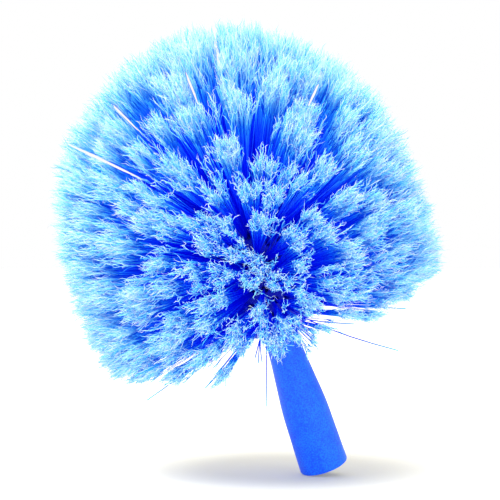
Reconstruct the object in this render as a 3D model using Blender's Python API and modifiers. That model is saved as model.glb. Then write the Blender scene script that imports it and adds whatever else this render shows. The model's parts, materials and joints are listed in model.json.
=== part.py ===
"""A domed cobweb duster head: rings of bristle tufts on a turned block, over a tapered socket for a pole.

Blender 4.5, metres, +Z up. The origin is the centre of the socket's mouth, and +Z is the head's axis.
Every piece is turned about that axis. Each ring of tufts is fused to the slice of block that holds it.
"""

import math
import random

import bmesh
import bpy
from mathutils import Matrix, Vector

# Pole socket, measured up from its mouth
SOCKET_LENGTH = 0.0930
SOCKET_MOUTH_RADIUS = 0.0150
SOCKET_WAIST_RADIUS = 0.0142
SOCKET_WAIST_HEIGHT = 0.0400
SOCKET_NECK_RADIUS = 0.0104
SOCKET_NECK_HEIGHT = 0.0780
SOCKET_WALL = 0.0024
SOCKET_BORE_DEPTH = 0.0700
SOCKET_LIP_ROUND = 0.0006
SOCKET_WAIST_ROUND = 0.0500
SOCKET_NECK_ROUND = 0.0400

# Spigot on top of the socket, which the block's core is pressed on
SPIGOT_RADIUS = 0.0072
SPIGOT_LENGTH = 0.0180
SPIGOT_ROUND = 0.0010

# Block, measured up from the socket's top
BLOCK_FOOT_HEIGHT = 0.0105
BLOCK_FOOT_LIP = 0.0028
BLOCK_FOOT_ROUND = 0.0050
BLOCK_NECK_RADIUS = 0.0122
BLOCK_SIDE_LENGTH = 0.0515
BLOCK_BASE_RADIUS = 0.0250
BLOCK_DOME_RADIUS = 0.0240
SKIN_THICKNESS = 0.0040

# Clearance between neighbouring pieces
SEAT_GAP = 0.0003

# Head of bristles: the form that the tips are trimmed to, half an ellipsoid over a squarer skirt
HEAD_RADIUS = 0.1095
HEAD_CENTRE_HEIGHT = 0.1720
HEAD_CROWN_HEIGHT = 0.1110
HEAD_SKIRT_DEPTH = 0.1000
HEAD_SKIRT_POWER = 4
TRIM_HALVINGS = 24

# Tufts, each folded over its staple into two legs
TUFT_ROWS = 11
TUFT_PITCH = 0.0076
LOWEST_LEAN = math.radians(94.5)
LEAN_POWER_SHARE = 0.58
LEG_OFFSET_SHARE = 0.25
ROOT_GATHER_SHARE = 0.6

# One leg of a tuft, drawn as one flaring strand
STRAND_SIDES = 3
STRAND_ROOT_RADIUS = 0.0012
STRAND_FLARE_RADIUS = 0.0048
STRAND_POINT_LENGTH = 0.0100
STRAND_ROOT_DEPTH = 0.0020
TRIM_JITTER_SHARE = 0.015
SEED = 7

# Facets
TURN_STEPS = 30
SOCKET_STEPS = 40
ARC_STEP = math.radians(30)
SMOOTH_ANGLE = math.radians(35)
MERGE_DISTANCE = 0.00001
FILLET_LIMIT_SHARE = 0.45

# Colours, linear
SOCKET_BLUE = (0.021, 0.127, 1.0, 1.0)
BLOCK_BLUE = (0.010, 0.060, 0.700, 1.0)
BRISTLE_BLUE = (0.098, 0.402, 1.0, 1.0)


def clear_scene():
    for obj in list(bpy.data.objects):
        bpy.data.objects.remove(obj, do_unlink=True)


def new_collection(name, hidden=False):
    collection = bpy.data.collections.new(name)
    collection.hide_render = hidden
    bpy.context.scene.collection.children.link(collection)
    return collection


def plastic(name, colour, roughness):
    material = bpy.data.materials.new(name)
    material.use_nodes = True
    shader = material.node_tree.nodes["Principled BSDF"]
    shader.inputs["Base Color"].default_value = colour
    shader.inputs["Roughness"].default_value = roughness
    shader.inputs["Metallic"].default_value = 0.0
    return material


def fillet(before, corner, after, radius):
    """Points of the arc that rounds one corner of a profile, tangent to both its lines."""
    back = before - corner
    ahead = after - corner
    half = back.angle(ahead) / 2
    shorter = min(back.length, ahead.length)
    reach = min(radius / math.tan(half), shorter * FILLET_LIMIT_SHARE)
    middle = (back.normalized() + ahead.normalized()).normalized()
    centre = corner + middle * reach / math.cos(half)
    spoke = corner + back.normalized() * reach - centre
    side = 1 if back.cross(ahead) > 0 else -1
    turn = math.pi - 2 * half
    count = max(2, math.ceil(turn / ARC_STEP))
    return [
        centre + Matrix.Rotation(-side * turn * i / count, 2) @ spoke
        for i in range(count + 1)
    ]


def rounded(corners):
    """A profile as (radius, height) points, from corners given as (radius, height, rounding)."""
    points = []
    for i, (radius, height, rounding) in enumerate(corners):
        corner = Vector((radius, height))
        if rounding:
            before = Vector(corners[i - 1][:2])
            after = Vector(corners[i + 1][:2])
            points += fillet(before, corner, after, rounding)
        else:
            points.append(corner)
    return points


def turned(name, profile, closed, steps, material, collection):
    """A solid turned about the axis from a profile that runs down its outer side."""
    mesh = bpy.data.meshes.new(name)
    count = len(profile)
    edges = [(i, (i + 1) % count) for i in range(count if closed else count - 1)]
    mesh.from_pydata([(radius, 0.0, height) for radius, height in profile], edges, [])
    obj = bpy.data.objects.new(name, mesh)
    collection.objects.link(obj)
    screw = obj.modifiers.new("turn", "SCREW")
    screw.steps = steps
    screw.render_steps = steps
    screw.use_merge_vertices = True
    screw.merge_threshold = MERGE_DISTANCE
    graph = bpy.context.evaluated_depsgraph_get()
    solid = bpy.data.meshes.new_from_object(obj.evaluated_get(graph))
    obj.modifiers.remove(screw)
    obj.data = solid
    solid.name = name
    bpy.data.meshes.remove(mesh)
    solid.shade_smooth()
    solid.set_sharp_from_angle(angle=SMOOTH_ANGLE)
    solid.materials.append(material)
    return obj


def skin_travel():
    """Lengths of the skin's outline: round the dome, and from the crown to the base."""
    over_dome = BLOCK_DOME_RADIUS * math.pi / 2
    return over_dome, over_dome + BLOCK_SIDE_LENGTH


def dome_centre_height():
    return SOCKET_LENGTH + BLOCK_FOOT_HEIGHT + BLOCK_SIDE_LENGTH


def skin_point(travel, depth=0.0):
    """(radius, height) at a distance along the skin from the crown, and at a depth under it."""
    over_dome, _ = skin_travel()
    if travel < over_dome:
        angle = travel / BLOCK_DOME_RADIUS
        reach = BLOCK_DOME_RADIUS - depth
        return Vector((reach * math.sin(angle), dome_centre_height() + reach * math.cos(angle)))
    down = travel - over_dome
    widening = (BLOCK_BASE_RADIUS - BLOCK_DOME_RADIUS) * down / BLOCK_SIDE_LENGTH
    return Vector((BLOCK_DOME_RADIUS + widening - depth, dome_centre_height() - down))


def outside_head(point):
    """Whether a (radius, height) point lies beyond the form that the tips are trimmed to."""
    wide = point.x / HEAD_RADIUS
    over = point.y - HEAD_CENTRE_HEIGHT
    if over > 0:
        return wide**2 + (over / HEAD_CROWN_HEIGHT) ** 2 > 1
    return wide**HEAD_SKIRT_POWER + (over / HEAD_SKIRT_DEPTH) ** HEAD_SKIRT_POWER > 1


def trimmed_tip(travel):
    """(radius, height) where a tuft rooted at this distance from the crown reaches the trimmed form."""
    _, whole = skin_travel()
    lean = LOWEST_LEAN * (travel / whole) ** LEAN_POWER_SHARE
    along = Vector((math.sin(lean), math.cos(lean)))
    root = skin_point(travel)
    within, beyond = 0.0, HEAD_RADIUS + HEAD_CROWN_HEIGHT + HEAD_SKIRT_DEPTH
    for _ in range(TRIM_HALVINGS):
        middle = (within + beyond) / 2
        if outside_head(root + along * middle):
            beyond = middle
        else:
            within = middle
    return root + along * within


def on_circle(point, turn):
    return Vector((point.x * math.cos(turn), point.x * math.sin(turn), point.y))


def row_pitch():
    """Distance between rows along the skin: the crown's tuft has half a row's width to each side."""
    _, whole = skin_travel()
    return whole / (TUFT_ROWS - 0.5)


def tufts_in_row(row):
    """As many as the pitch allows round the dome, and the same number in each row down the side."""
    around = 2 * math.pi * min(skin_point(row * row_pitch()).x, BLOCK_DOME_RADIUS)
    return max(1, round(around / TUFT_PITCH))


def add_strand(mesh, root, tip, spin):
    """One strand: a thin cone that widens from its root, with a pointed end."""
    way = tip - root
    shaft = way.length - STRAND_POINT_LENGTH
    place = Matrix.Translation(root + way.normalized() * shaft / 2)
    facing = way.to_track_quat("Z", "Y").to_matrix().to_4x4()
    made = bmesh.ops.create_cone(
        mesh,
        cap_ends=True,
        segments=STRAND_SIDES,
        radius1=STRAND_ROOT_RADIUS,
        radius2=STRAND_FLARE_RADIUS,
        depth=shaft,
        matrix=place @ facing @ Matrix.Rotation(spin, 4, "Z"),
    )
    farthest = sorted(made["verts"], key=lambda v: (v.co - root).length)[-STRAND_SIDES:]
    end = next(face for face in farthest[0].link_faces if set(face.verts) == set(farthest))
    bmesh.ops.poke(mesh, faces=[end], offset=STRAND_POINT_LENGTH)


def row_strands(name, row, chance, collection):
    """All the strands of one ring of tufts, as a helper that is joined to the ring's slice."""
    pitch = row_pitch()
    tufts = tufts_in_row(row)
    tuft_turn = 2 * math.pi / tufts
    slant = 1 if row % 2 else -1
    mesh = bmesh.new()
    for tuft in range(tufts):
        middle = tuft_turn * (tuft + (row % 2) / 2)
        for leg in (-1, 1):
            across = leg * LEG_OFFSET_SHARE * tuft_turn
            down = leg * slant * LEG_OFFSET_SHARE * pitch
            root_at = skin_point(abs(row * pitch + down * ROOT_GATHER_SHARE), STRAND_ROOT_DEPTH)
            root = on_circle(root_at, middle + across * ROOT_GATHER_SHARE)
            tip = on_circle(trimmed_tip(abs(row * pitch + down)), middle + across)
            length = 1 + chance.uniform(-TRIM_JITTER_SHARE, TRIM_JITTER_SHARE)
            add_strand(mesh, root, root + (tip - root) * length, chance.uniform(0, math.tau))
    data = bpy.data.meshes.new(name)
    mesh.to_mesh(data)
    mesh.free()
    helper = bpy.data.objects.new(name, data)
    helper.hide_render = True
    helper.display_type = "WIRE"
    collection.objects.link(helper)
    return helper


def slice_profile(row):
    """Outline of one slice of skin: down its outer side, then up its inner side."""
    half = row_pitch() / 2
    start = (2 * row - 1) * half + SEAT_GAP / 2
    end = (2 * row + 1) * half - SEAT_GAP / 2
    over_dome, _ = skin_travel()
    if row == 0:
        stops = [0.0, end]
    elif start < over_dome:
        stops = [start, (start + end) / 2, end]
    else:
        stops = [start, end]
    outer = [skin_point(stop) for stop in stops]
    inner = [skin_point(stop, SKIN_THICKNESS) for stop in reversed(stops)]
    return outer + inner


def build_pole_socket(material, collection):
    seat = SOCKET_LENGTH
    bore_top_radius = (
        SOCKET_WAIST_RADIUS
        + (SOCKET_NECK_RADIUS - SOCKET_WAIST_RADIUS)
        * (SOCKET_BORE_DEPTH - SOCKET_WAIST_HEIGHT)
        / (SOCKET_NECK_HEIGHT - SOCKET_WAIST_HEIGHT)
        - SOCKET_WALL
    )
    corners = [
        (0.0, seat + SPIGOT_LENGTH, 0.0),
        (SPIGOT_RADIUS, seat + SPIGOT_LENGTH, SPIGOT_ROUND),
        (SPIGOT_RADIUS, seat, 0.0),
        (SOCKET_NECK_RADIUS, seat, SPIGOT_ROUND),
        (SOCKET_NECK_RADIUS, SOCKET_NECK_HEIGHT, SOCKET_NECK_ROUND),
        (SOCKET_WAIST_RADIUS, SOCKET_WAIST_HEIGHT, SOCKET_WAIST_ROUND),
        (SOCKET_MOUTH_RADIUS, 0.0, SOCKET_LIP_ROUND),
        (SOCKET_MOUTH_RADIUS - SOCKET_WALL, 0.0, SOCKET_LIP_ROUND),
        (SOCKET_WAIST_RADIUS - SOCKET_WALL, SOCKET_WAIST_HEIGHT, SOCKET_WAIST_ROUND),
        (bore_top_radius, SOCKET_BORE_DEPTH, 0.0),
        (0.0, SOCKET_BORE_DEPTH, 0.0),
    ]
    return turned("pole_socket", rounded(corners), False, SOCKET_STEPS, material, collection)


def build_block_core(material, collection):
    seat = SOCKET_LENGTH + SEAT_GAP
    ledge = SOCKET_LENGTH + BLOCK_FOOT_HEIGHT - SEAT_GAP
    foot = ledge - BLOCK_FOOT_LIP
    hole_radius = SPIGOT_RADIUS + SEAT_GAP
    hole_top = SOCKET_LENGTH + SPIGOT_LENGTH + SEAT_GAP
    over_dome, _ = skin_travel()
    depth = SKIN_THICKNESS + SEAT_GAP
    half_row = row_pitch() / 2
    dome_stops = [half_row * i for i in range(math.ceil(over_dome / half_row))]
    dome = [(*skin_point(stop, depth), 0.0) for stop in dome_stops + [over_dome]]
    foot_corners = [
        (BLOCK_BASE_RADIUS - depth, ledge, 0.0),
        (BLOCK_BASE_RADIUS, ledge, 0.0),
        (BLOCK_BASE_RADIUS, foot, BLOCK_FOOT_ROUND),
        (BLOCK_NECK_RADIUS, seat, SPIGOT_ROUND),
        (hole_radius, seat, 0.0),
        (hole_radius, hole_top, 0.0),
        (0.0, hole_top, 0.0),
    ]
    profile = rounded(dome + foot_corners)
    return turned("block_core", profile, False, TURN_STEPS, material, collection)


def build_tuft_ring(row, chance, material, collection, helpers):
    name = f"tuft_ring_{row:02d}" if row else "crown_tuft"
    ring = turned(name, slice_profile(row), row > 0, TURN_STEPS, material, collection)
    strands = row_strands(name + "_strands", row, chance, helpers)
    join = ring.modifiers.new("fuse strands", "BOOLEAN")
    join.operation = "UNION"
    join.solver = "EXACT"
    join.object = strands
    return ring


def main():
    clear_scene()
    parts = new_collection("cobweb_duster")
    helpers = new_collection("joined_helpers", hidden=True)
    socket_plastic = plastic("polypropylene_socket", SOCKET_BLUE, 0.45)
    block_plastic = plastic("polypropylene_block", BLOCK_BLUE, 0.50)
    bristle = plastic("polyester_bristle", BRISTLE_BLUE, 0.60)
    chance = random.Random(SEED)
    build_pole_socket(socket_plastic, parts)
    build_block_core(block_plastic, parts)
    for row in range(TUFT_ROWS):
        build_tuft_ring(row, chance, bristle, parts, helpers)


main()
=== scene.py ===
"""A domed cobweb duster head in a plain studio: tufts with split ends on a drilled block over a socket."""

import json
import logging
import math
from dataclasses import dataclass, field
from enum import Enum
from typing import Any, Iterator, Sequence

import bpy
import numpy as np
from mathutils import Matrix, Vector

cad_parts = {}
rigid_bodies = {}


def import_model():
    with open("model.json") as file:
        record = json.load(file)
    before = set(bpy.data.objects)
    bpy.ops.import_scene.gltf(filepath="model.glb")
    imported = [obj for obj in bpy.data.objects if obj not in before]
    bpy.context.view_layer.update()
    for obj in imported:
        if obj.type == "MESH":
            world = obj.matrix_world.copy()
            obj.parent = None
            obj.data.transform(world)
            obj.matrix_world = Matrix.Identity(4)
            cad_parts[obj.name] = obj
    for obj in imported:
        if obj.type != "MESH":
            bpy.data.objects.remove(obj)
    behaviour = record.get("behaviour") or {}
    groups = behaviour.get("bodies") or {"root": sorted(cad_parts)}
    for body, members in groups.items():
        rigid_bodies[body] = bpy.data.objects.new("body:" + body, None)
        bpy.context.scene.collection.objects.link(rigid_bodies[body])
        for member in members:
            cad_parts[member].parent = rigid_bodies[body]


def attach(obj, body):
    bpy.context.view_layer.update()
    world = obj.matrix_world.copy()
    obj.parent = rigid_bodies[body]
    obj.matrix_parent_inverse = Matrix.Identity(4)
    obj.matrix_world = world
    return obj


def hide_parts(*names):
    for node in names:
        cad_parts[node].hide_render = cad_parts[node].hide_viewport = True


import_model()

log = logging.getLogger("cobweb_duster")

ROOT_BODY = "root"
MM = 0.001
WHITE = "#FFFFFF"

# A point in whole millimetres
Place = tuple[int, int, int]


class Slot(Enum):
    """The record's material slots."""

    SOCKET = "socket_plastic"
    BLOCK = "block_plastic"
    BRISTLE = "bristle"


def linear(colour: str) -> tuple[float, float, float, float]:
    """Turns an sRGB hex colour into linear light.

    Args:
        colour: Six hex digits after a hash sign.

    Returns:
        Red, green, blue and an alpha of one.
    """
    channels = [int(colour[i : i + 2], 16) / 255 for i in (1, 3, 5)]
    light = [c / 12.92 if c <= 0.04045 else ((c + 0.055) / 1.055) ** 2.4 for c in channels]
    return (light[0], light[1], light[2], 1.0)


class Shading:
    """Builds the nodes of one material or world."""

    def __init__(self, owner: Any) -> None:
        """Opens the node tree of a material or a world."""
        owner.use_nodes = True
        self.tree = owner.node_tree

    def fill(self, node: Any, settings: dict[Any, Any]) -> Any:
        """Sets up a node.

        Args:
            node: The node.
            settings: Its attributes by name, and its inputs' values or the outputs that feed them, by name
                or number.

        Returns:
            The node.
        """
        for key, value in settings.items():
            if isinstance(value, bpy.types.NodeSocket):
                self.tree.links.new(value, node.inputs[key])
            elif isinstance(key, str) and hasattr(node, key):
                setattr(node, key, value)
            else:
                node.inputs[key].default_value = value
        return node

    def add(self, kind: str, **settings: Any) -> Any:
        """Adds a node of a kind, with its attributes."""
        return self.fill(self.tree.nodes.new(kind), settings)

    def math(self, operation: str, first: Any, second: Any) -> Any:
        """The output of a sum on an output and either another output or a number."""
        node = self.add("ShaderNodeMath", operation=operation)
        return self.fill(node, {0: first, 1: second}).outputs["Value"]

    def noise(self, size: float, detail: float, roughness: float = 0.5) -> Any:
        """Adds noise on the object's own place.

        Args:
            size: The real size of its features.
            detail: How many finer layers it has.
            roughness: How strong the finer layers are.

        Returns:
            Its output.
        """
        place = self.add("ShaderNodeTexCoord").outputs["Object"]
        settings = {"Vector": place, "Scale": 1 / size, "Detail": detail, "Roughness": roughness}
        return self.fill(self.add("ShaderNodeTexNoise"), settings).outputs["Fac"]

    def ramp(self, share: Any, stops: Sequence[tuple[float, str]]) -> Any:
        """Adds a colour ramp.

        Args:
            share: The output that picks a place on it.
            stops: Place and sRGB colour of each stop, in rising order.

        Returns:
            Its colour output.
        """
        node = self.fill(self.add("ShaderNodeValToRGB"), {"Fac": share})
        elements = node.color_ramp.elements
        while len(elements) < len(stops):
            elements.new(1.0)
        for element, (place, colour) in zip(elements, stops):
            element.position = place
            element.color = linear(colour)
        return node.outputs["Color"]

    def seen(self) -> Any:
        """Adds a test of what looks.

        Returns:
            An output that is one for the camera, a reflection or a clear body, and zero for diffuse light.
        """
        rays = self.add("ShaderNodeLightPath").outputs
        first = self.math("MAXIMUM", rays["Is Camera Ray"], rays["Is Glossy Ray"])
        return self.math("MAXIMUM", first, rays["Is Transmission Ray"])

    def either(self, share: Any, first: Any, second: Any) -> Any:
        """The output of a mix of two shaders."""
        return self.fill(self.add("ShaderNodeMixShader"), {0: share, 1: first, 2: second}).outputs["Shader"]


class Surface(Shading):
    """A material that is being made, with its shader."""

    def __init__(self, name: str) -> None:
        """Starts a material of this name."""
        self.material = bpy.data.materials.new(name)
        super().__init__(self.material)
        self.shader = self.tree.nodes["Principled BSDF"]


def deselect_all() -> None:
    """Leaves edit mode with nothing selected."""
    if bpy.context.mode != "OBJECT":
        bpy.ops.object.mode_set(mode="OBJECT")
    bpy.ops.object.select_all(action="DESELECT")


@dataclass(frozen=True)
class MouldedPlastic:
    """Injection-moulded polypropylene: self-coloured, satin, with a fine mould texture."""

    name: str
    colour: str
    deeper: str
    tone_span: tuple[float, float] = (0.42, 0.58)
    ior: float = 1.49
    gloss: float = 0.28
    smoothest: float = 0.44
    roughest: float = 0.58
    gloss_span: tuple[float, float] = (0.3, 0.7)
    cloud_size: float = 12.0 * MM
    cloud_detail: float = 2.0
    grain_size: float = 0.9 * MM
    grain_detail: float = 3.0
    grain_roughness: float = 0.6
    grain_height: float = 0.03 * MM
    grain_strength: float = 0.35
    speckle_share: float = 0.8

    def material(self) -> Any:
        """Makes the plastic's material, with mottled tone, uneven gloss and a fine grain.

        Returns:
            The material.
        """
        surface = Surface(self.name)
        # Flow of the melt leaves soft clouds of tone about a centimetre across
        clouds = surface.noise(self.cloud_size, self.cloud_detail)
        # The mould's spark-eroded texture, drawn at nearly a millimetre so that it shows
        grain = surface.noise(self.grain_size, self.grain_detail, self.grain_roughness)
        mottle = surface.add("ShaderNodeMix", data_type="FLOAT")
        surface.fill(mottle, {0: self.speckle_share, 2: clouds, 3: grain})
        tone = surface.ramp(mottle.outputs[0], list(zip(self.tone_span, (self.deeper, self.colour))))
        low, high = self.gloss_span
        gloss = surface.add("ShaderNodeMapRange")
        surface.fill(gloss, {"Value": grain, "From Min": low, "From Max": high})
        surface.fill(gloss, {"To Min": self.smoothest, "To Max": self.roughest})
        bump = surface.add("ShaderNodeBump")
        surface.fill(bump, {"Height": grain, "Strength": self.grain_strength, "Distance": self.grain_height})
        look = {
            "Base Color": tone,
            "Roughness": gloss.outputs["Result"],
            "IOR": self.ior,
            "Specular IOR Level": self.gloss,
            "Normal": bump.outputs["Normal"],
        }
        surface.fill(surface.shader, look)
        return surface.material


@dataclass(frozen=True)
class DrawnFilament:
    """Drawn polyester filament: dyed blue along its shaft, pale where its end is split and frayed."""

    name: str = "drawn_polyester_filament"
    stops: tuple[tuple[float, str], ...] = (
        (0.00, "#000CFF"),
        (0.45, "#0432FF"),
        (0.66, "#0B5DFF"),
        (0.765, "#1D99FF"),
        (0.81, "#5CDDFF"),
        (0.87, "#A9F9FF"),
        (0.96, "#F5FFFF"),
    )
    tint: str = "#60DCFF"
    tint_share: float = 0.30
    tint_power: float = 3.0
    ior: float = 1.57
    gloss: float = 0.05
    smoothest: float = 0.38
    roughest: float = 0.65
    # Painted glow: a faint blue emission that lights the filament though it is no lamp
    painted_glow_colour: str = "#0010FF"
    painted_glow_strength: float = 0.14

    def material(self) -> Any:
        """Makes the filament's material from the growth map: along the strand in V, its own tone in U.

        Returns:
            The material.
        """
        surface = Surface(self.name)
        growth = surface.add("ShaderNodeUVMap", uv_map=FibreMesh.map_name).outputs["UV"]
        tone, along, _ = surface.add("ShaderNodeSeparateXYZ", Vector=growth).outputs
        # Dye takes unevenly from strand to strand, so each has a tone of its own
        share = surface.math("MULTIPLY", surface.math("POWER", tone, self.tint_power), self.tint_share)
        dyed = surface.add("ShaderNodeMix", data_type="RGBA")
        surface.fill(dyed, {0: share, 6: surface.ramp(along, self.stops), 7: linear(self.tint)})
        gloss = surface.add("ShaderNodeMapRange", Value=along)
        surface.fill(gloss, {"To Min": self.smoothest, "To Max": self.roughest})
        # Painted glow: a faint blue emission lights every filament and keeps the shaded gaps blue, standing
        # in for light that a clear filament carries down from its tip
        look = {
            "Base Color": dyed.outputs[2],
            "Roughness": gloss.outputs["Result"],
            "IOR": self.ior,
            "Specular IOR Level": self.gloss,
            "Emission Color": linear(self.painted_glow_colour),
            "Emission Strength": self.painted_glow_strength,
        }
        surface.fill(surface.shader, look)
        return surface.material


@dataclass
class UnitFibre:
    """One three-sided fibre of unit radius, modelled once and then bent along many spines."""

    rings: int
    taper: float
    pointed: bool
    points: np.ndarray = field(init=False)
    levels: np.ndarray = field(init=False)
    corners: np.ndarray = field(init=False)
    sides: np.ndarray = field(init=False)
    columns: np.ndarray = field(init=False)

    def __post_init__(self) -> None:
        """Extrudes a triangle upward ring by ring, and reads the closed mesh."""
        deselect_all()
        bpy.ops.mesh.primitive_circle_add(vertices=3, radius=1.0, fill_type="NGON")
        fibre = bpy.context.object
        bpy.ops.object.mode_set(mode="EDIT")
        bpy.ops.mesh.select_all(action="SELECT")
        for ring in range(1, self.rings + 1):
            bpy.ops.mesh.extrude_region_move(TRANSFORM_OT_translate={"value": (0.0, 0.0, 1.0)})
            axis = (0.0, 0.0, float(ring))
            bpy.ops.transform.resize(value=(self.taper, self.taper, 1.0), center_override=axis)
        if self.pointed:
            bpy.ops.mesh.merge(type="CENTER")
        bpy.ops.mesh.select_all(action="SELECT")
        bpy.ops.mesh.normals_make_consistent(inside=False)
        bpy.ops.object.mode_set(mode="OBJECT")
        mesh = fibre.data
        places = np.array([vertex.co for vertex in mesh.vertices])
        self.points = places[:, :2]
        self.levels = places[:, 2].round().astype(int)
        self.corners = np.array([i for face in mesh.polygons for i in face.vertices])
        self.sides = np.array([len(face.vertices) for face in mesh.polygons])
        self.columns = self.column_of_each_corner(mesh)
        bpy.data.objects.remove(fibre)
        bpy.data.meshes.remove(mesh)

    def column_of_each_corner(self, mesh: Any) -> np.ndarray:
        """Gives each face's corners a place across its side, so that no face is without width on a map.

        Args:
            mesh: The fibre's mesh.

        Returns:
            A number from 0 to 1 for each corner.
        """
        places = []
        for face in mesh.polygons:
            middle = math.atan2(face.center.y, face.center.x)
            for end in (mesh.vertices[i].co for i in face.vertices):
                off = (math.atan2(end.y, end.x) - middle + math.pi) % (2 * math.pi) - math.pi
                # A corner on the axis has no turn, so it lies midway
                on_axis = end.xy.length < self.taper**self.rings / 2
                places.append(0.5 if on_axis else 0.5 + off / math.pi)
        return np.array(places)


class FibreMesh:
    """Gathers bent fibres and makes them one mesh, with a growth map."""

    map_name = "OFBake"
    column_width = 0.06

    def __init__(self) -> None:
        """Starts with no fibres."""
        self.points: list[np.ndarray] = []
        self.corners: list[np.ndarray] = []
        self.sides: list[np.ndarray] = []
        self.growth: list[np.ndarray] = []
        self.count = 0

    def bend(
        self,
        fibre: UnitFibre,
        spines: np.ndarray,
        shares: np.ndarray,
        radii: np.ndarray,
        span: np.ndarray,
        tone: np.ndarray,
        lean: np.ndarray,
    ) -> None:
        """Bends one copy of the unit fibre along each spine.

        Args:
            fibre: The unit fibre.
            spines: A point for each of the fibre's rings, as (copies, rings + 1, 3).
            shares: How far along the spine each ring lies, from 0 to 1.
            radii: Radius of each copy at its foot.
            span: Growth at the foot and at the tip of each copy, as (copies, 2).
            tone: The copy's own tone, from 0 to 1.
            lean: A direction for each copy that fixes how it is turned about its spine.
        """
        ways = unit(np.gradient(spines, axis=1))
        across = unit(np.cross(ways, lean[:, None, :]))
        over = np.cross(ways, across)
        wide = radii[:, None, None] * fibre.points[None, :, :]
        places = (
            spines[:, fibre.levels]
            + across[:, fibre.levels] * wide[..., :1]
            + over[:, fibre.levels] * wide[..., 1:]
        )
        copies, each = places.shape[:2]
        start = self.count + each * np.arange(copies)
        self.points.append(places.reshape(-1, 3))
        self.corners.append((start[:, None] + fibre.corners[None, :]).ravel())
        self.sides.append(np.tile(fibre.sides, copies))
        share = shares[fibre.levels[fibre.corners]]
        height = span[:, :1] + (span[:, 1:] - span[:, :1]) * share[None, :]
        column = tone[:, None] * (1 - self.column_width) + self.column_width * fibre.columns[None, :]
        self.growth.append(np.stack([column, height], axis=-1).reshape(-1, 2))
        self.count += copies * each

    def finished(self, name: str, material: Any) -> Any:
        """Makes the object from all that was bent.

        Args:
            name: The object's name.
            material: The material of every fibre.

        Returns:
            The new object, at the origin.
        """
        points = np.concatenate(self.points)
        corners = np.concatenate(self.corners)
        sides = np.concatenate(self.sides)
        starts = np.concatenate([[0], np.cumsum(sides)[:-1]])
        mesh = bpy.data.meshes.new(name)
        mesh.vertices.add(len(points))
        mesh.vertices.foreach_set("co", points.astype(np.float32).ravel())
        mesh.loops.add(len(corners))
        mesh.loops.foreach_set("vertex_index", corners.astype(np.int32))
        mesh.polygons.add(len(sides))
        mesh.polygons.foreach_set("loop_start", starts.astype(np.int32))
        growth = mesh.uv_layers.new(name=self.map_name)
        growth.data.foreach_set("uv", np.concatenate(self.growth).astype(np.float32).ravel())
        mesh.update(calc_edges=True)
        mesh.validate()
        mesh.shade_smooth()
        mesh.materials.append(material)
        made = bpy.data.objects.new(name, mesh)
        bpy.context.scene.collection.objects.link(made)
        return made


def unit(vectors: np.ndarray) -> np.ndarray:
    """Gives each vector in the last axis a length of one."""
    return vectors / np.maximum(np.linalg.norm(vectors, axis=-1, keepdims=True), 1e-12)


def direction(turn: float, lean: float) -> np.ndarray:
    """Unit direction at a turn about the axis and an angle from the crown, in degrees."""
    turn, lean = math.radians(turn), math.radians(lean)
    return np.array([math.sin(lean) * math.cos(turn), math.sin(lean) * math.sin(turn), math.cos(lean)])


def beside(ways: np.ndarray, chance: np.random.Generator) -> np.ndarray:
    """A random unit direction square to each way."""
    anyhow = chance.normal(size=ways.shape)
    return unit(anyhow - ways * (anyhow * ways).sum(-1, keepdims=True))


def in_disc(count: int, chance: np.random.Generator) -> np.ndarray:
    """Places spread evenly over a disc of unit radius, as (count, 2)."""
    radius, turn = np.sqrt(chance.uniform(0, 1, count)), chance.uniform(0, 2 * math.pi, count)
    return np.stack([radius * np.cos(turn), radius * np.sin(turn)], axis=1)


def on_circle(point: Vector, turn: float) -> np.ndarray:
    """Turns a point given as radius and height about the axis."""
    return np.array([point.x * math.cos(turn), point.x * math.sin(turn), point.y])


def bezier(paths: np.ndarray, shares: Sequence[float]) -> np.ndarray:
    """Points along each path.

    Args:
        paths: Four control points of each path, as (copies, 4, 3).
        shares: How far along, from 0 to 1.

    Returns:
        The points, as (copies, shares, 3).
    """
    t = np.asarray(shares)[None, :, None]
    a, b, c, d = (paths[:, i][:, None, :] for i in range(4))
    return (1 - t) ** 3 * a + 3 * (1 - t) ** 2 * t * b + 3 * (1 - t) * t**2 * c + t**3 * d


def lower_part(paths: np.ndarray, share: np.ndarray) -> np.ndarray:
    """Cuts each path off at a share of its way, by de Casteljau's construction.

    Args:
        paths: Four control points of each path.
        share: Where to cut each path.

    Returns:
        The control points of the part below the cut.
    """
    t = share[:, None]
    a, b, c, d = (paths[:, i] for i in range(4))
    ab, bc, cd = a + (b - a) * t, b + (c - b) * t, c + (d - c) * t
    abc, bcd = ab + (bc - ab) * t, bc + (cd - bc) * t
    return np.stack([a, ab, abc, abc + (bcd - abc) * t], axis=1)


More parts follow.
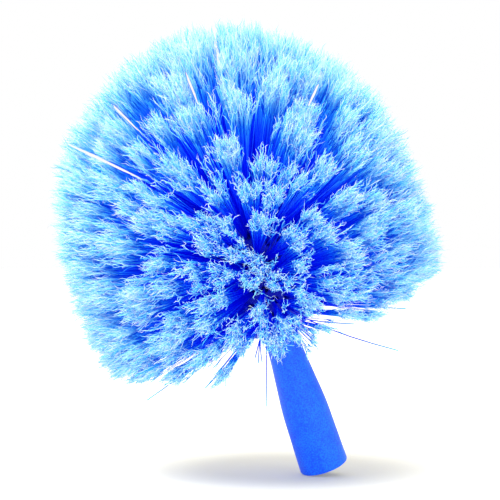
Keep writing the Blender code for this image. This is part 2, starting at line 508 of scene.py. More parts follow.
@dataclass(frozen=True)
class TuftLayout:
    """Where the tufts stand on the block, and where their tips are trimmed to."""

    socket_length: float = 93.0 * MM
    foot_height: float = 10.5 * MM
    foot_lip: float = 2.8 * MM
    neck_radius: float = 12.2 * MM
    side_length: float = 51.5 * MM
    base_radius: float = 25.0 * MM
    dome_radius: float = 24.0 * MM
    head_radius: float = 109.5 * MM
    head_centre: float = 172.0 * MM
    crown_height: float = 111.0 * MM
    skirt_depth: float = 100.0 * MM
    skirt_power: float = 4.0
    tuft_pitch: float = 7.6 * MM
    rows: int = 11
    lowest_lean: float = math.radians(94.5)
    lean_power: float = 0.58
    leg_offset_share: float = 0.25
    root_gather_share: float = 0.6
    halvings: int = 30

    @property
    def dome_centre(self) -> float:
        """Height of the dome's centre."""
        return self.socket_length + self.foot_height + self.side_length

    @property
    def over_dome(self) -> float:
        """Length of the skin's outline round the dome."""
        return self.dome_radius * math.pi / 2

    @property
    def outline(self) -> float:
        """Length of the skin's outline from the crown to the foot."""
        return self.over_dome + self.side_length

    @property
    def row_pitch(self) -> float:
        """Distance between rows along the skin."""
        return self.outline / (self.rows - 0.5)

    def skin(self, travel: float, depth: float = 0.0) -> Vector:
        """Radius and height of a point of the skin.

        Args:
            travel: Distance along the skin from the crown.
            depth: Distance under the skin.

        Returns:
            Radius and height.
        """
        if travel < self.over_dome:
            angle = travel / self.dome_radius
            reach = self.dome_radius - depth
            return Vector((reach * math.sin(angle), self.dome_centre + reach * math.cos(angle)))
        down = travel - self.over_dome
        widening = (self.base_radius - self.dome_radius) * down / self.side_length
        return Vector((self.dome_radius + widening - depth, self.dome_centre - down))

    def lean(self, travel: float) -> Vector:
        """Direction, as radius and height, in which a tuft rooted at this distance stands."""
        angle = self.lowest_lean * (travel / self.outline) ** self.lean_power
        return Vector((math.sin(angle), math.cos(angle)))

    def outside(self, points: np.ndarray, grown: np.ndarray) -> np.ndarray:
        """Tells which points are outside the trimmed form: half an ellipsoid over a squarer skirt.

        Args:
            points: Places, with their three coordinates last.
            grown: How far the form is grown at each point.

        Returns:
            True for each point outside.
        """
        radius = np.linalg.norm(points[..., :2], axis=-1) / (self.head_radius + grown)
        over = points[..., 2] - self.head_centre
        upper = radius**2 + (over / (self.crown_height + grown)) ** 2
        lower = radius**self.skirt_power + np.abs(over / (self.skirt_depth + grown)) ** self.skirt_power
        return np.where(over > 0, upper, lower) > 1

    def reach(self, roots: np.ndarray, ways: np.ndarray, grown: np.ndarray) -> np.ndarray:
        """Length of a straight filament from each root to the trimmed form, found by halving.

        Args:
            roots: Where the filaments start.
            ways: Their unit directions.
            grown: How far the form is grown for each.

        Returns:
            The lengths.
        """
        near, far = np.zeros(len(roots)), np.full(len(roots), 2 * self.crown_height)
        for _ in range(self.halvings):
            middle = (near + far) / 2
            out = self.outside(roots + ways * middle[:, None], grown)
            near, far = np.where(out, near, middle), np.where(out, middle, far)
        return (near + far) / 2

    def trimmed(self, travel: float) -> Vector:
        """Finds where a straight tuft ends.

        Args:
            travel: Distance of its root along the skin from the crown.

        Returns:
            Radius and height at which it meets the trimmed form.
        """
        root, along = self.skin(travel), self.lean(travel)
        flat = np.array([[root.x, 0.0, root.y]]), np.array([[along.x, 0.0, along.y]])
        return root + along * float(self.reach(*flat, np.zeros(1))[0])

    def tufts(self, row: int) -> int:
        """Number of tufts in a row."""
        around = 2 * math.pi * min(self.skin(row * self.row_pitch).x, self.dome_radius)
        return max(1, round(around / self.tuft_pitch))

    def fill(self, row: int) -> float:
        """Compares the share of the trimmed form that a tuft fills with that of one halfway down the block.

        Args:
            row: The tuft's row, counted from the crown.

        Returns:
            How many times more it fills, at least one.
        """
        shares = []
        for each in (row, self.rows // 2):
            edges = [self.lean(max(0.0, each + half) * self.row_pitch).y for half in (-0.5, 0.5)]
            shares.append((edges[0] - edges[1]) / self.tufts(each))
        return max(1.0, shares[0] / shares[1])

    def middles(self, row: int) -> list[float]:
        """Angle about the axis of each tuft in a row; odd rows are staggered by half a tuft."""
        tufts = self.tufts(row)
        return [2 * math.pi / tufts * (tuft + (row % 2) / 2) for tuft in range(tufts)]


# Bunches that show from the front, in degrees: angle from the crown, and turns about the axis
FRONT_BUNCHES = (
    (30, (-100,)),
    (40, (-135, -110, -98, -78, -55, -42)),
    (46, (-140, -120)),
    (55, (-135, -106, -86, -59)),
    (60, (-124, -102, -76, -40)),
    (65, (-120, -96, -82, -70, -45)),
    (70, (-135, -115, -105, -80, -58, -45)),
    (76, (-110, -100, -87, -60)),
    (81, (-95, -70, -56)),
    (85, (-150, -120, -110, -100, -75, -65, -45)),
    (90, (-135, -100, -91, -76, -48)),
    (95, (-135, -108, -84, -60, -30)),
    (101, (-120, -109, -95, -87, -79, -70)),
    (105, (-125, -103, -65)),
    (108, (-114, -93, -86)),
)

# Turn about the axis in degrees, and height in millimetres that the lowest tips keep to there
HEM = (
    (-180, 104), (-150, 106), (-130, 104), (-118, 99), (-106, 102), (-100, 103), (-94, 107), (-88, 97),
    (-83, 97), (-78, 116), (-68, 115), (-55, 105), (-35, 109), (0, 103), (180, 104),
)

# Where the trim is long or short: turn about the axis and angle from the crown in degrees, and millimetres
TRIMS = ((180, 101, 4.5), (0, 78, -3.0), (0, 40, -5.0), (180, 22, -3.0), (0, 118, 2.5))

# Slits that one sees through where tufts part: both ends and half the width, and the place in front
# of the head where their planes meet, in millimetres
PARTINGS = (
    ((-3, 18, 237), (-4, 23, 258), 0.95),
    ((58, 13, 213), (71, 16, 226), 0.9),
    ((-48, 11, 204), (-86, 19, 239), 0.8),
    ((-42, 17, 232), (-53, 22, 254), 0.8),
    ((17, 20, 245), (17, 21, 251), 0.7),
)
PARTINGS_MEET = (-1, -1076, 383)

# Unsplit filaments that hang out: a point on the way and the tip, in millimetres
STRAYS = (
    ((-10, -39, 93), (-21, -65, 68)),
    ((-12, -44, 104), (-17, -74, 97)),
    ((-11, -45, 104), (-18, -73, 100)),
    ((-13, -43, 103), (-15, -72, 96)),
    ((24, -49, 96), (60, -88, 82)),
    ((13, -43, 104), (41, -92, 106)),
    ((34, -34, 110), (78, -62, 103)),
    ((30, -36, 107), (73, -64, 97)),
    ((-27, -42, 106), (-84, -74, 97)),
    ((-26, -44, 107), (-72, -74, 102)),
    ((-24, -55, 101), (-50, -85, 96)),
    ((-26, -53, 102), (-47, -86, 98)),
    ((-46, -59, 114), (-86, -75, 113)),
)


@dataclass(frozen=True)
class Slit:
    """A thin opening, shaped like a lens, in a plane through a place far in front of it."""

    meet: np.ndarray
    inner: np.ndarray
    outer: np.ndarray
    half: float
    reach_share: float = 6.0

    @property
    def across(self) -> np.ndarray:
        """Unit direction across the slit."""
        return unit(np.cross(self.inner - self.meet, self.outer - self.meet))

    @property
    def width(self) -> float:
        """How far a filament is bent aside at most."""
        return self.reach_share * self.half

    def gap(self, points: np.ndarray) -> tuple[np.ndarray, np.ndarray]:
        """Where points are beside the slit, and half its width there.

        Args:
            points: The points, with their three coordinates last.

        Returns:
            Distance across the slit, and half its width, zero beyond its ends.
        """
        depth = unit((self.inner + self.outer) / 2 - self.meet)
        start, end = ((spot - self.meet) / ((spot - self.meet) @ depth) for spot in (self.inner, self.outer))
        seen = points - self.meet
        along = (seen / (seen @ depth)[..., None] - start) @ (end - start) / ((end - start) @ (end - start))
        within = (along > 0) & (along < 1)
        return seen @ self.across, self.half * np.where(within, np.sin(np.pi * along.clip(0, 1)), 0) ** 0.5


@dataclass
class BristleHead:
    """The bristles, ring by ring: tufts of fine filament, each filament split into kinked fibrils."""

    layout: TuftLayout
    finish: DrawnFilament
    seed: int = 11

    # One leg of a tuft, and the locks that it parts into
    filaments_per_leg: int = 42
    hole_radius: float = 2.1 * MM
    root_depth: float = 3.0 * MM
    clump_radius: float = 6.8 * MM
    clump_shift: float = 1.6 * MM
    locks: int = 9
    lock_radius: float = 2.2 * MM
    lock_level: float = 1.0 * MM
    stray_share: float = 0.18
    stray_reach: float = 2.2
    bow_share: float = 0.02
    start_share: float = 0.3

    # Bunches that the tufts and locks lean into
    bunches: int = 150
    front_bunches: tuple[tuple[int, tuple[int, ...]], ...] = FRONT_BUNCHES
    front_pull: float = 0.72
    bunch_pull: float = 0.30
    lock_pull: float = 0.12
    bunch_reach: float = 26.0 * MM
    bunch_level: float = 0.9 * MM
    bunch_phase: float = 2.4
    front_margin: float = math.radians(11)
    spread_rounds: int = 12
    spread_step: float = 0.004
    spread_softness: float = 0.05

    # How unevenly the tips are trimmed
    hem: tuple[tuple[int, int], ...] = HEM
    hem_give: float = 0.3
    trims: tuple[tuple[float, float, float], ...] = TRIMS
    trim_width: float = math.radians(24)
    trim_spread: float = 2.0 * MM
    trim_shape: float = 1.2
    trim_middle: float = 0.7
    trim_most: float = 5.0
    level: float = 0.5 * MM
    level_spread: float = 0.7 * MM

    # Slits between tufts, and filaments that hang out
    partings: tuple[tuple[Place, Place, float], ...] = PARTINGS
    parting_from: float = 0.3
    parting_steps: int = 15
    strays: tuple[tuple[Place, Place], ...] = STRAYS
    hanging_radius: float = 0.42 * MM
    hanging_span: tuple[float, float] = (0.3, 0.80)
    hanging_bend: float = 0.3
    hanging_rings: int = 6
    hanging_taper: float = 0.97

    # A filament's shaft, and the fibrils that its end is split into
    shaft_radius: float = 0.24 * MM
    shaft_rings: int = 2
    shaft_taper: float = 0.92
    split_share: float = 0.80
    split_spread: float = 0.05
    fibrils: int = 4
    fibril_radius: float = 0.235 * MM
    fibril_taper: float = 0.88
    fibril_widths: tuple[float, float] = (0.7, 1.2)
    fibril_shares: tuple[float, ...] = (0.0, 0.45, 0.70, 0.87, 1.0)
    fibril_lengths: tuple[float, float] = (0.6, 1.15)
    flare: float = 3.8 * MM
    flare_span: tuple[float, float] = (0.1, 1.0)
    flare_power: float = 2.2
    kink: float = 1.5 * MM
    kink_span: tuple[float, float] = (0.2, 1.0)
    palest_from: float = 0.76
    wild_share: float = 0.05
    wild_reach: float = 2.4

    def build(self) -> None:
        """Builds and dresses every ring of tufts."""
        material = self.finish.material()
        shaft = UnitFibre(self.shaft_rings, self.shaft_taper, pointed=False)
        fibril = UnitFibre(len(self.fibril_shares) - 1, self.fibril_taper, pointed=True)
        centres = self.bunch_centres()
        for row in range(self.layout.rows):
            chance = np.random.default_rng(self.seed + row)
            mesh = FibreMesh()
            for middle in self.layout.middles(row):
                for leg in (-1, 1):
                    paths = self.leg_paths(row, middle, leg, centres, chance)
                    self.grow(mesh, paths, shaft, fibril, chance)
            if row == self.layout.rows - 1:
                self.hang_strays(mesh, chance)
            name = f"bristle_ring_{row:02d}" if row else "crown_bristles"
            ring = mesh.finished(name, material)
            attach(ring, ROOT_BODY)
            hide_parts(f"tuft_ring_{row:02d}" if row else "crown_tuft")
            log.info("%s: %d faces", name, len(ring.data.polygons))

    @property
    def in_front(self) -> int:
        """Number of bunches that show from the front."""
        return sum(len(turns) for _, turns in self.front_bunches)

    def bunch_centres(self) -> np.ndarray:
        """Places the bunches that tufts lean into: as photographed in front, and evenly elsewhere.

        Returns:
            The centres of the bunches, those in front first.
        """
        chance = np.random.default_rng(self.seed)
        ways = unit(chance.normal(size=(self.bunches, 3)))
        for _ in range(self.spread_rounds):
            apart = ways[:, None] - ways[None, :]
            gap = np.linalg.norm(apart, axis=-1, keepdims=True) + self.spread_softness
            ways = unit(ways + self.spread_step * (apart / gap**3).sum(1))
        seen = np.array([direction(turn, lean) for lean, turns in self.front_bunches for turn in turns])
        free = (ways @ seen.T).max(1) < math.cos(self.front_margin)
        ways = np.concatenate([seen, ways[free]])
        middles = np.tile([0.0, 0.0, self.layout.dome_centre], (len(ways), 1))
        return middles + ways * self.layout.reach(middles, ways, np.zeros(len(ways)))[:, None]

    def leg_ends(self, row: int, middle: float, leg: int) -> tuple[np.ndarray, np.ndarray]:
        """Finds the ends of one leg of a folded tuft.

        Args:
            row: The tuft's row, counted from the crown.
            middle: The tuft's angle about the axis.
            leg: Which leg of the fold, -1 or 1.

        Returns:
            Its root, and where it would end if it stood alone.
        """
        layout = self.layout
        pitch = layout.row_pitch
        turn = 2 * math.pi / layout.tufts(row)
        slant = 1 if row % 2 else -1
        across = leg * layout.leg_offset_share * turn
        down = leg * slant * layout.leg_offset_share * pitch
        root = layout.skin(abs(row * pitch + down * layout.root_gather_share), self.root_depth)
        root_turn = middle + across * layout.root_gather_share
        return on_circle(root, root_turn), on_circle(layout.trimmed(abs(row * pitch + down)), middle + across)

    def leg_paths(
        self, row: int, middle: float, leg: int, centres: np.ndarray, chance: np.random.Generator
    ) -> np.ndarray:
        """Lays out the filaments of one leg of a folded tuft.

        Args:
            row: The tuft's row, counted from the crown.
            middle: The tuft's angle about the axis.
            leg: Which leg of the fold, -1 or 1.
            centres: The bunches' centres.
            chance: Source of random numbers.

        Returns:
            Four control points of each filament, as (filaments, 4, 3).
        """
        root, tip = self.leg_ends(row, middle, leg)
        nearest = int(np.linalg.norm(centres - tip, axis=1).argmin())
        pull = centres[nearest] - tip
        share = self.front_pull if nearest < self.in_front else self.bunch_pull
        near = share * max(0.0, 1 - np.linalg.norm(pull) / self.bunch_reach) ** 0.5
        tip = tip + pull * near
        way = unit(tip - root)
        side = unit(np.cross(way, [0.0, 0.0, 1.0]))
        over = np.cross(side, way)
        shift = chance.normal(0, self.clump_shift, 2)
        tip = tip + side * shift[0] + over * shift[1]

        # A tuft that has more of the form to fill gets more locks, and spreads them wider
        fill = self.layout.fill(row)
        count = round(self.filaments_per_leg * fill)
        many = round(self.locks * fill)
        locks = in_disc(many, chance) * (1 + (math.sqrt(fill) - 1) * (1 - near))
        lock = chance.integers(0, many, count)
        plane = np.stack([side, over])
        spots = tip + self.clump_radius * locks @ plane
        drawn = self.lock_pull + (self.front_pull - self.lock_pull) * (1 - 1 / fill)
        spots += drawn * self.to_front(spots, centres[: self.in_front])
        within = (spots - tip)[lock] + self.lock_radius * in_disc(count, chance) @ plane
        straying = chance.uniform(size=(count, 1)) < self.stray_share
        roots = root + self.hole_radius / 2 / math.sqrt(fill) * locks[lock] @ plane
        tips = self.above_hem(tip + np.where(straying, self.stray_reach, 1.0) * within)

        ways = unit(tips - roots)
        level = self.level + self.bunch_level * math.sin(self.bunch_phase * nearest)
        level += chance.uniform(-self.level_spread, self.level_spread)
        grown = level + chance.normal(0, self.lock_level, many)[lock]
        shorter = chance.gamma(self.trim_shape, 1.0, count).clip(0, self.trim_most)
        grown += self.trim_spread * (self.trim_middle - shorter)
        grown += self.uneven_trim(tips)
        length = self.layout.reach(roots, ways, grown)[:, None]
        tips = roots + ways * length
        bow = beside(ways, chance) * chance.uniform(0, self.bow_share, (count, 1)) * length
        start = unit(way + self.start_share * (ways - way))
        leaving, arriving = roots + start * length / 3 + bow / 2, tips - ways * length / 3 + bow
        return self.parted(np.stack([roots, leaving, arriving, tips], axis=1), chance)

    def above_hem(self, tips: np.ndarray) -> np.ndarray:
        """Lifts the tips that hang below the hem most of the way up to it.

        Args:
            tips: The tips.

        Returns:
            The tips, lifted.
        """
        turns, heights = zip(*self.hem)
        lowest = MM * np.interp(np.degrees(np.arctan2(tips[:, 1], tips[:, 0])), turns, heights)
        tips[:, 2] += (1 - self.hem_give) * np.maximum(lowest - tips[:, 2], 0)
        return tips

    def slits(self) -> Iterator[Slit]:
        """The partings as slits, one after the other."""
        for inner, outer, half in self.partings:
            spots = (MM * np.array(spot, dtype=float) for spot in (PARTINGS_MEET, inner, outer))
            yield Slit(*spots, half * MM)

    def parted(self, paths: np.ndarray, chance: np.random.Generator) -> np.ndarray:
        """Bends the filaments that cross a parting to the side on which they end.

        Args:
            paths: Four control points of each filament.
            chance: Source of random numbers.

        Returns:
            The control points, moved.
        """
        shares = np.linspace(self.parting_from, 1, self.parting_steps)
        moved = shares**2 * (3 - 2 * shares)
        for slit in self.slits():
            beside_it, half = slit.gap(bezier(paths, shares))
            hand = np.where(beside_it[:, -1:] < 0, -1, 1)
            short = np.where(half > 0, half - hand * beside_it, 0)
            near = (short < slit.width).all(axis=1, keepdims=True)
            push = np.where(near, (short.clip(0) / moved).max(axis=1, keepdims=True), 0)
            push = np.where(push > 0, push + slit.half * chance.uniform(0, 1, push.shape) ** 2, 0)
            paths[:, 2:] += (hand * push)[:, :, None] * slit.across
        return paths

    def to_front(self, spots: np.ndarray, centres: np.ndarray) -> np.ndarray:
        """How far each lock is from the nearest of the bunches in front, less so when it is far.

        Args:
            spots: Where the locks' tips are.
            centres: The centres of the bunches in front.

        Returns:
            The way to the nearest centre, weakened with distance.
        """
        ways = centres[None] - spots[:, None]
        gaps = np.linalg.norm(ways, axis=-1)
        nearest = gaps.argmin(axis=1)
        each = np.arange(len(spots))
        share = (1 - gaps[each, nearest] / self.bunch_reach).clip(0) ** 0.5
        return ways[each, nearest] * share[:, None]

    def uneven_trim(self, tips: np.ndarray) -> np.ndarray:
        """How much longer than the trimmed form the filaments are left at these places.

        Args:
            tips: Places near the tips.

        Returns:
            A length for each, negative where they are cut shorter.
        """
        facing = unit(tips - [0.0, 0.0, self.layout.dome_centre])
        grown = np.zeros(len(tips))
        for turn, lean, longer in self.trims:
            apart = np.arccos(np.clip(facing @ direction(turn, lean), -1, 1))
            grown += longer * MM * np.exp(-((apart / self.trim_width) ** 2))
        return grown

    def hang_strays(self, mesh: FibreMesh, chance: np.random.Generator) -> None:
        """Adds the long filaments that were never split and hang out of the lowest ring.

        Args:
            mesh: The mesh that gets them.
            chance: Source of random numbers.
        """
        through, tips = MM * np.array(self.strays, dtype=float).transpose(1, 0, 2)
        lowest = self.layout.skin(self.layout.row_pitch * (self.layout.rows - 1), self.root_depth)
        roots = np.array([on_circle(lowest, math.atan2(y, x)) for x, y, _ in through])
        leaving = roots + (1 - self.hanging_bend) * (through - roots)
        arriving = through + self.hanging_bend * (tips - through)
        paths = np.stack([roots, leaving, arriving, tips], axis=1)
        whole = UnitFibre(self.hanging_rings, self.hanging_taper, pointed=False)
        shares = np.linspace(0, 1, whole.rings + 1)
        count = len(tips)
        radii, span = np.full(count, self.hanging_radius), np.tile(self.hanging_span, (count, 1))
        lean = beside(unit(tips - roots), chance)
        tone = chance.uniform(0, 1, count)
        mesh.bend(whole, bezier(paths, shares), shares, radii, span, tone, lean)

    def grow(
        self,
        mesh: FibreMesh,
        paths: np.ndarray,
        shaft: UnitFibre,
        fibril: UnitFibre,
        chance: np.random.Generator,
    ) -> None:
        """Makes each filament's shaft up to its split, and its fibrils from there to the tip.

        Args:
            mesh: The mesh that gets them.
            paths: Four control points of each filament.
            shaft: The unit fibre of a shaft.
            fibril: The unit fibre of a split end.
            chance: Source of random numbers.
        """
        count = len(paths)
        split = self.split_share + chance.uniform(-self.split_spread, self.split_spread, count)
        lower = lower_part(paths, split)
        tone = chance.uniform(0, 1, count)
        lean = beside(unit(paths[:, 3] - paths[:, 0]), chance)
        shares = np.linspace(0, 1, shaft.rings + 1)
        whole = np.stack([np.zeros(count), split], axis=1)
        mesh.bend(shaft, bezier(lower, shares), shares, np.full(count, self.shaft_radius), whole, tone, lean)
        many = np.repeat(np.arange(count), self.fibrils)
        total = len(many)
        start = lower[many, 3]
        way = unit(lower[many, 3] - lower[many, 2])
        left = np.linalg.norm((paths[:, 3] - lower[:, 3])[many], axis=-1)
        along = way * (left * chance.uniform(*self.fibril_lengths, total))[:, None]
        out = beside(way, chance) * (self.flare * chance.uniform(*self.flare_span, total))[:, None]
        wild = np.where(chance.uniform(size=total) < self.wild_share, self.wild_reach, 1.0)[:, None]
        shares = np.array(self.fibril_shares)
        levels = shares[None, :, None]
        spines = start[:, None] + along[:, None] * levels + (out * wild)[:, None] * levels**self.flare_power
        for ring, share in enumerate(self.fibril_shares[1:], start=1):
            crook = self.kink * chance.uniform(*self.kink_span, total) * share
            spines[:, ring] += beside(way, chance) * crook[:, None]
        for slit in self.slits():
            hand = np.where(slit.gap(lower[:, 3:])[0] < 0, -1, 1)[many]
            beside_it, half = slit.gap(spines)
            short = np.where(half > 0, half + self.fibril_radius - hand * beside_it, 0)
            spines += (hand * short.clip(0))[:, :, None] * slit.across
        thin = self.fibril_radius * chance.uniform(*self.fibril_widths, total)
        ends = self.palest_from + (1 - self.palest_from) * np.sqrt(chance.uniform(0, 1, total))
        part = np.stack([split[many], ends], axis=1)
        mesh.bend(fibril, spines, shares, thin, part, chance.uniform(0, 1, total), beside(way, chance))


@dataclass
class TuftBlock:
    """The drilled block that holds the tufts."""

    layout: TuftLayout
    finish: MouldedPlastic
    steps: int = 96
    foot_steps: int = 8
    skin_steps: int = 40
    hole_radius: float = 2.3 * MM
    hole_depth: float = 6.0 * MM
    hole_sides: int = 12
    spigot_hole_radius: float = 7.5 * MM
    spigot_hole_depth: float = 18.3 * MM

    def build(self) -> None:
        """Turns the block's body, drills its holes and dresses it."""
        body = lathe("block_body", self.stations(), self.steps)
        drills = self.drills()
        cut = body.modifiers.new("drilled", "BOOLEAN")
        cut.operation = "DIFFERENCE"
        cut.solver = "EXACT"
        cut.object = drills
        bpy.context.view_layer.objects.active = body
        bpy.ops.object.modifier_apply(modifier=cut.name)
        bpy.data.objects.remove(drills)
        body.data.materials.append(self.finish.material())
        shade(body)
        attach(body, ROOT_BODY)
        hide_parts("block_core")
        log.info("block_body: %d faces", len(body.data.polygons))

    def stations(self) -> list[tuple[float, float]]:
        """Lays out the body's rings, from the spigot's hole round to the crown.

        Returns:
            Radius and height of each ring.
        """
        layout = self.layout
        seat = layout.socket_length
        lip = seat + layout.foot_height - layout.foot_lip
        flare = layout.base_radius - layout.neck_radius
        hole = [(self.spigot_hole_radius, seat + self.spigot_hole_depth), (self.spigot_hole_radius, seat)]
        turns = np.linspace(0, math.pi / 2, self.foot_steps + 1)
        rise = lip - seat
        foot = [(layout.neck_radius + flare * math.sin(turn), lip - rise * math.cos(turn)) for turn in turns]
        travels = [layout.outline * (1 - i / self.skin_steps) for i in range(self.skin_steps)]
        return hole + foot + [tuple(layout.skin(travel)) for travel in travels] + [(0.0, layout.skin(0.0).y)]

    def drills(self) -> Any:
        """Makes one object that holds a drill for every tuft's hole.

        Returns:
            The object.
        """
        layout = self.layout
        deselect_all()
        bpy.ops.mesh.primitive_cylinder_add(
            vertices=self.hole_sides, radius=self.hole_radius, depth=2 * self.hole_depth
        )
        first = bpy.context.object
        drills = []
        for row in range(layout.rows):
            travel = row * layout.row_pitch
            lean = layout.lean(travel)
            for middle in layout.middles(row):
                drill = first.copy()
                drill.data = first.data.copy()
                bpy.context.scene.collection.objects.link(drill)
                way = Vector(on_circle(Vector(lean), middle))
                place = Matrix.Translation(on_circle(layout.skin(travel), middle))
                drill.data.transform(place @ way.to_track_quat("Z", "Y").to_matrix().to_4x4())
                drills.append(drill)
        bpy.data.objects.remove(first)
        for drill in drills:
            drill.select_set(True)
        bpy.context.view_layer.objects.active = drills[0]
        bpy.ops.object.join()
        return bpy.context.object


def lathe(name: str, stations: Sequence[tuple[float, float]], steps: int) -> Any:
    """Turns a closed body by extruding a ring of edges from station to station.

    Args:
        name: The object's name.
        stations: Radius and height of each ring. A radius of zero closes the body at its end.
        steps: Facets round the axis.

    Returns:
        The new object, at the origin, with its faces pointing out.
    """
    deselect_all()
    radius, height = stations[0]
    centre = (0.0, 0.0, height)
    bpy.ops.mesh.primitive_circle_add(vertices=steps, radius=radius, fill_type="NGON", location=centre)
    body = bpy.context.object
    body.name = name
    body.data.name = name
    body.data.transform(Matrix.Translation(body.location))
    body.location = (0.0, 0.0, 0.0)
    bpy.ops.object.mode_set(mode="EDIT")
    bpy.ops.mesh.select_mode(type="EDGE")
    bpy.ops.mesh.select_all(action="SELECT")
    for next_radius, next_height in stations[1:]:
        bpy.ops.mesh.extrude_edges_move(TRANSFORM_OT_translate={"value": (0.0, 0.0, next_height - height)})
        if next_radius:
            grow = next_radius / radius
            bpy.ops.transform.resize(value=(grow, grow, 1.0), center_override=(0.0, 0.0, next_height))
            radius = next_radius
        height = next_height
    if stations[-1][0]:
        bpy.ops.mesh.edge_face_add()
    else:
        bpy.ops.mesh.merge(type="CENTER")
    bpy.ops.mesh.select_all(action="SELECT")
    bpy.ops.mesh.normals_make_consistent(inside=False)
    bpy.ops.object.mode_set(mode="OBJECT")
    return body


def shade(piece: Any, angle: float = math.radians(35)) -> None:
    """Shades a piece smooth, with sharp edges past an angle.

    Args:
        piece: The piece.
        angle: The angle between two faces past which their edge is sharp.
    """
    deselect_all()
    piece.select_set(True)
    bpy.context.view_layer.objects.active = piece
    bpy.ops.object.shade_smooth_by_angle(angle=angle)


@dataclass
class PoleSocket:
    """The tapered socket: a waisted sleeve with a blind bore and a spigot that goes into the block."""

    layout: TuftLayout
    finish: MouldedPlastic
    steps: int = 96
    bore_stations: int = 21
    lip_steps: int = 5
    outer_stations: int = 31
    mouth_radius: float = 15.0 * MM
    waist_radius: float = 14.2 * MM
    waist_height: float = 40.0 * MM
    neck_radius: float = 10.4 * MM
    neck_height: float = 78.0 * MM
    wall: float = 2.4 * MM
    bore_depth: float = 70.0 * MM
    blend: float = 7.0 * MM
    blend_samples: int = 15
    lip_round: float = 0.7 * MM
    spigot_radius: float = 7.2 * MM
    spigot_length: float = 18.0 * MM
    seam_height: float = 0.12 * MM

    def build(self) -> None:
        """Turns the socket, raises its parting line and dresses it."""
        socket = lathe("socket_sleeve", self.stations(), self.steps)
        self.raise_seam(socket)
        socket.data.materials.append(self.finish.material())
        shade(socket)
        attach(socket, ROOT_BODY)
        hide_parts("pole_socket")
        log.info("socket_sleeve: %d faces", len(socket.data.polygons))

    def radius_at(self, height: float) -> float:
        """Finds the outer radius, with the bends at waist and neck eased over a blend length.

        Args:
            height: Height above the mouth.

        Returns:
            The radius.
        """
        heights = height + np.linspace(-self.blend, self.blend, self.blend_samples)
        below = self.mouth_radius + (self.waist_radius - self.mouth_radius) * heights / self.waist_height
        ends, radii = (self.waist_height, self.neck_height), (self.waist_radius, self.neck_radius)
        return float(np.where(heights < self.waist_height, below, np.interp(heights, ends, radii)).mean())

    def stations(self) -> list[tuple[float, float]]:
        """Lays out the socket's rings, from the bore's end down, round the mouth and up the outside.

        Returns:
            Radius and height of each ring.
        """
        seat = self.layout.socket_length
        lip = self.lip_round
        within = np.linspace(self.bore_depth, lip, self.bore_stations)
        bore = [(self.radius_at(height) - self.wall, float(height)) for height in within]
        turns = np.linspace(0, math.pi / 2, self.lip_steps + 1)[1:-1]
        inner = self.mouth_radius - self.wall + lip
        outer = self.mouth_radius - lip
        round_in = [(inner - lip * math.cos(turn), lip - lip * math.sin(turn)) for turn in turns]
        flat = [(inner, 0.0), (outer, 0.0)]
        round_out = [(outer + lip * math.sin(turn), lip - lip * math.cos(turn)) for turn in turns]
        upward = np.linspace(lip, seat, self.outer_stations)
        outside = [(self.radius_at(height), float(height)) for height in upward]
        spigot = [(self.spigot_radius, seat), (self.spigot_radius, seat + self.spigot_length)]
        return bore + round_in + flat + round_out + outside + spigot

    def raise_seam(self, socket: Any) -> None:
        """Raises the parting line that the mould's two halves leave down both sides.

        Args:
            socket: The turned socket.
        """
        for vertex in socket.data.vertices:
            outer = self.radius_at(vertex.co.z) - vertex.co.xy.length < self.lip_round
            if outer and abs(vertex.co.y) < self.seam_height and vertex.co.z < self.layout.socket_length:
                vertex.co.x += math.copysign(self.seam_height, vertex.co.x)


@dataclass(frozen=True)
class Softbox:
    """A square lamp that faces the head."""

    name: str
    place: tuple[float, float, float]
    side: float
    watts: float
    colour: str = WHITE

    def build(self, head_centre: Vector) -> None:
        """Adds the lamp.

        Args:
            head_centre: Where it points.
        """
        data = bpy.data.lights.new(self.name, "AREA")
        data.color = linear(self.colour)[:3]
        data.size = self.side
        data.energy = self.watts
        lamp = bpy.data.objects.new(self.name, data)
        toward = Vector(self.place) - head_centre
        lamp.location = self.place
        lamp.rotation_mode = "QUATERNION"
        lamp.rotation_quaternion = toward.to_track_quat("Z", "Y")
        bpy.context.scene.collection.objects.link(lamp)


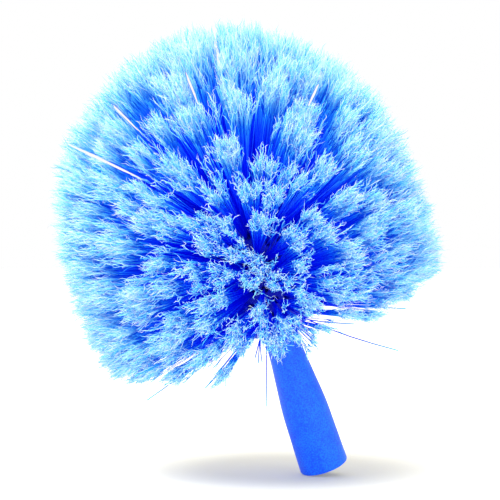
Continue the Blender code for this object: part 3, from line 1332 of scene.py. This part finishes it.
@dataclass(frozen=True)
class Studio:
    """A white room with soft lamps, and the camera at the photograph's viewing angle."""

    mouth_radius: float
    head_height: float = 154.0 * MM
    lamps: tuple[Softbox, ...] = (
        Softbox("key_softbox", (-0.15, -1.0, 1.95), 1.4, 38.0),
        Softbox("fill_softbox", (1.0, -1.8, 0.9), 2.0, 14.5),
        Softbox("rim_softbox", (0.3, 1.3, 1.5), 2.2, 28.0, "#FFF2EA"),
    )
    room_light: float = 0.79
    room_seen: float = 1.0
    distance: float = 1.10
    elevation: float = math.radians(12.5)
    tilt: float = math.radians(18.5)
    image_px: float = 500.0
    focal_px: float = 1826.0
    centre_px: tuple[float, float] = (247.0, 235.0)
    sensor_mm: float = 36.0
    clip: tuple[float, float] = (0.05, 50.0)
    floor_angle: float = math.radians(0.6)
    floor_radius: float = 6.0
    floor_sides: int = 64
    floor_roughness: float = 0.9
    floor_shown: str = "#BFBFAC"
    paper: tuple[tuple[float, str], ...] = ((0.0, "#F2F2F2"), (1.0, "#F6F6F6"))
    pulp_size: float = 3.0 * MM
    pulp_detail: float = 3.0
    # Painted shade on the floor: a disc of low emission beside the mouth, placed, sized and lifted by these
    shade_aside: float = -0.021
    shade_behind: float = 0.028
    shade_disc_radius: float = 0.150
    lift_full: float = 0.7
    lift_in_shade_disc: float = 0.20
    lift_far: float = 0.82

    def build(self) -> None:
        """Sets up floor, world, lamps and camera."""
        bpy.context.scene.view_settings.view_transform = "Standard"
        self.floor()
        self.world()
        for lamp in self.lamps:
            lamp.build(self.head_centre)
        self.camera()

    @property
    def head_centre(self) -> Vector:
        """The middle of the whole object, which lamps and camera face."""
        return Vector((0.0, 0.0, self.head_height))

    @property
    def facing(self) -> Matrix:
        """The camera's turn: it looks down a little, and is rolled so that the axis leans as photographed."""
        back = Vector((0.0, -math.cos(self.elevation), math.sin(self.elevation)))
        return back.to_track_quat("Z", "Y").to_matrix().to_4x4() @ Matrix.Rotation(-self.tilt, 4, "Z")

    def camera(self) -> None:
        """Places the camera so that the head's centre falls on its pixel."""
        facing = self.facing
        right, up, back = (facing.col[axis].xyz for axis in range(3))
        metres = self.distance / self.focal_px
        middle = self.image_px / 2
        aside = (middle - self.centre_px[0]) * metres
        above = (self.centre_px[1] - middle) * metres
        aim = self.head_centre + right * aside + up * above
        data = bpy.data.cameras.new("studio_camera")
        data.sensor_width = self.sensor_mm
        data.lens = self.focal_px / self.image_px * self.sensor_mm
        data.clip_start, data.clip_end = self.clip
        camera = bpy.data.objects.new("studio_camera", data)
        camera.matrix_world = Matrix.Translation(aim + back * self.distance) @ facing
        bpy.context.scene.collection.objects.link(camera)
        bpy.context.scene.camera = camera

    def world(self) -> None:
        """A white room to the camera, and a soft even light on the object."""
        world = bpy.data.worlds.new("white_room")
        bpy.context.scene.world = world
        shading = Shading(world)
        shading.tree.nodes.clear()
        light, shown = (
            shading.add("ShaderNodeBackground", Color=linear(WHITE), Strength=strength).outputs["Background"]
            for strength in (self.room_light, self.room_seen)
        )
        shading.add("ShaderNodeOutputWorld", Surface=shading.either(shading.seen(), light, shown))

    def floor(self) -> None:
        """Lays a pale floor, level in the picture, so that the head leans over it on its mouth's edge."""
        deselect_all()
        sides, radius = self.floor_sides, self.floor_radius
        bpy.ops.mesh.primitive_circle_add(vertices=sides, radius=radius, fill_type="NGON")
        floor = bpy.context.object
        floor.name = "studio_floor"
        right, up, back = (self.facing.col[axis].xyz for axis in range(3))
        normal = up * math.cos(self.floor_angle) + back * math.sin(self.floor_angle)
        floor.rotation_mode = "QUATERNION"
        floor.rotation_quaternion = normal.to_track_quat("Z", "Y")
        contact = -normal * self.mouth_radius * normal.xy.length
        # Sliding the floor in its own plane places the centre of the painted shade disc in its emission
        # beside the mouth
        floor.location = contact + right * self.shade_aside + normal.cross(right) * self.shade_behind
        floor.data.materials.append(self.floor_material())

    def floor_material(self) -> Any:
        """Makes a white paper that keeps the object's shadow only within a painted shade disc beside the
        mouth, where its emission is low, and is lifted to white to the camera elsewhere.

        Returns:
            The material.
        """
        surface = Surface("white_paper_floor")
        pulp = surface.ramp(surface.noise(self.pulp_size, self.pulp_detail), self.paper)
        # To the camera the paper is darker and lifted back to white by emission. The lift is weakest in a
        # painted shade disc beside the mouth, where the real shadow shows with its depth and reach set by the
        # disc, and full further out, where it paints out shadow and the lamps' falloff
        seen = surface.seen()
        shown = surface.add("ShaderNodeMix", data_type="RGBA")
        surface.fill(shown, {0: seen, 6: pulp, 7: linear(self.floor_shown)})
        place = surface.add("ShaderNodeTexCoord").outputs["Object"]
        around = surface.add("ShaderNodeVectorMath", operation="SCALE", Scale=1 / self.shade_disc_radius)
        surface.fill(around, {0: place})
        near = surface.add("ShaderNodeTexGradient", gradient_type="SPHERICAL", Vector=around.outputs[0])
        lift = surface.add("ShaderNodeMapRange", interpolation_type="SMOOTHSTEP", Value=near.outputs["Fac"])
        surface.fill(lift, {"From Max": self.lift_full, "To Min": self.lift_far, "To Max": self.lift_in_shade_disc})
        look = {
            "Base Color": shown.outputs[2],
            "Roughness": self.floor_roughness,
            "Emission Color": linear(WHITE),
            "Emission Strength": surface.math("MULTIPLY", seen, lift.outputs["Result"]),
        }
        paper = surface.fill(surface.shader, look).outputs["BSDF"]
        # The sheet has one side only, so that it doesn't hide the head from beneath
        under = surface.add("ShaderNodeNewGeometry").outputs["Backfacing"]
        clear = surface.add("ShaderNodeBsdfTransparent").outputs["BSDF"]
        surface.fill(surface.tree.nodes["Material Output"], {"Surface": surface.either(under, paper, clear)})
        return surface.material


def main() -> None:
    """Builds the duster head and its studio."""
    logging.basicConfig(level=logging.INFO, format="%(message)s")
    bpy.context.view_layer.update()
    layout = TuftLayout()
    socket = PoleSocket(layout, MouldedPlastic("moulded_polypropylene_socket", "#157CFF", "#0B53F7"))
    socket.build()
    TuftBlock(layout, MouldedPlastic("moulded_polypropylene_block", "#1230D0", "#0E28BC")).build()
    BristleHead(layout, DrawnFilament()).build()
    Studio(socket.mouth_radius).build()


if __name__ == "__main__":
    main()
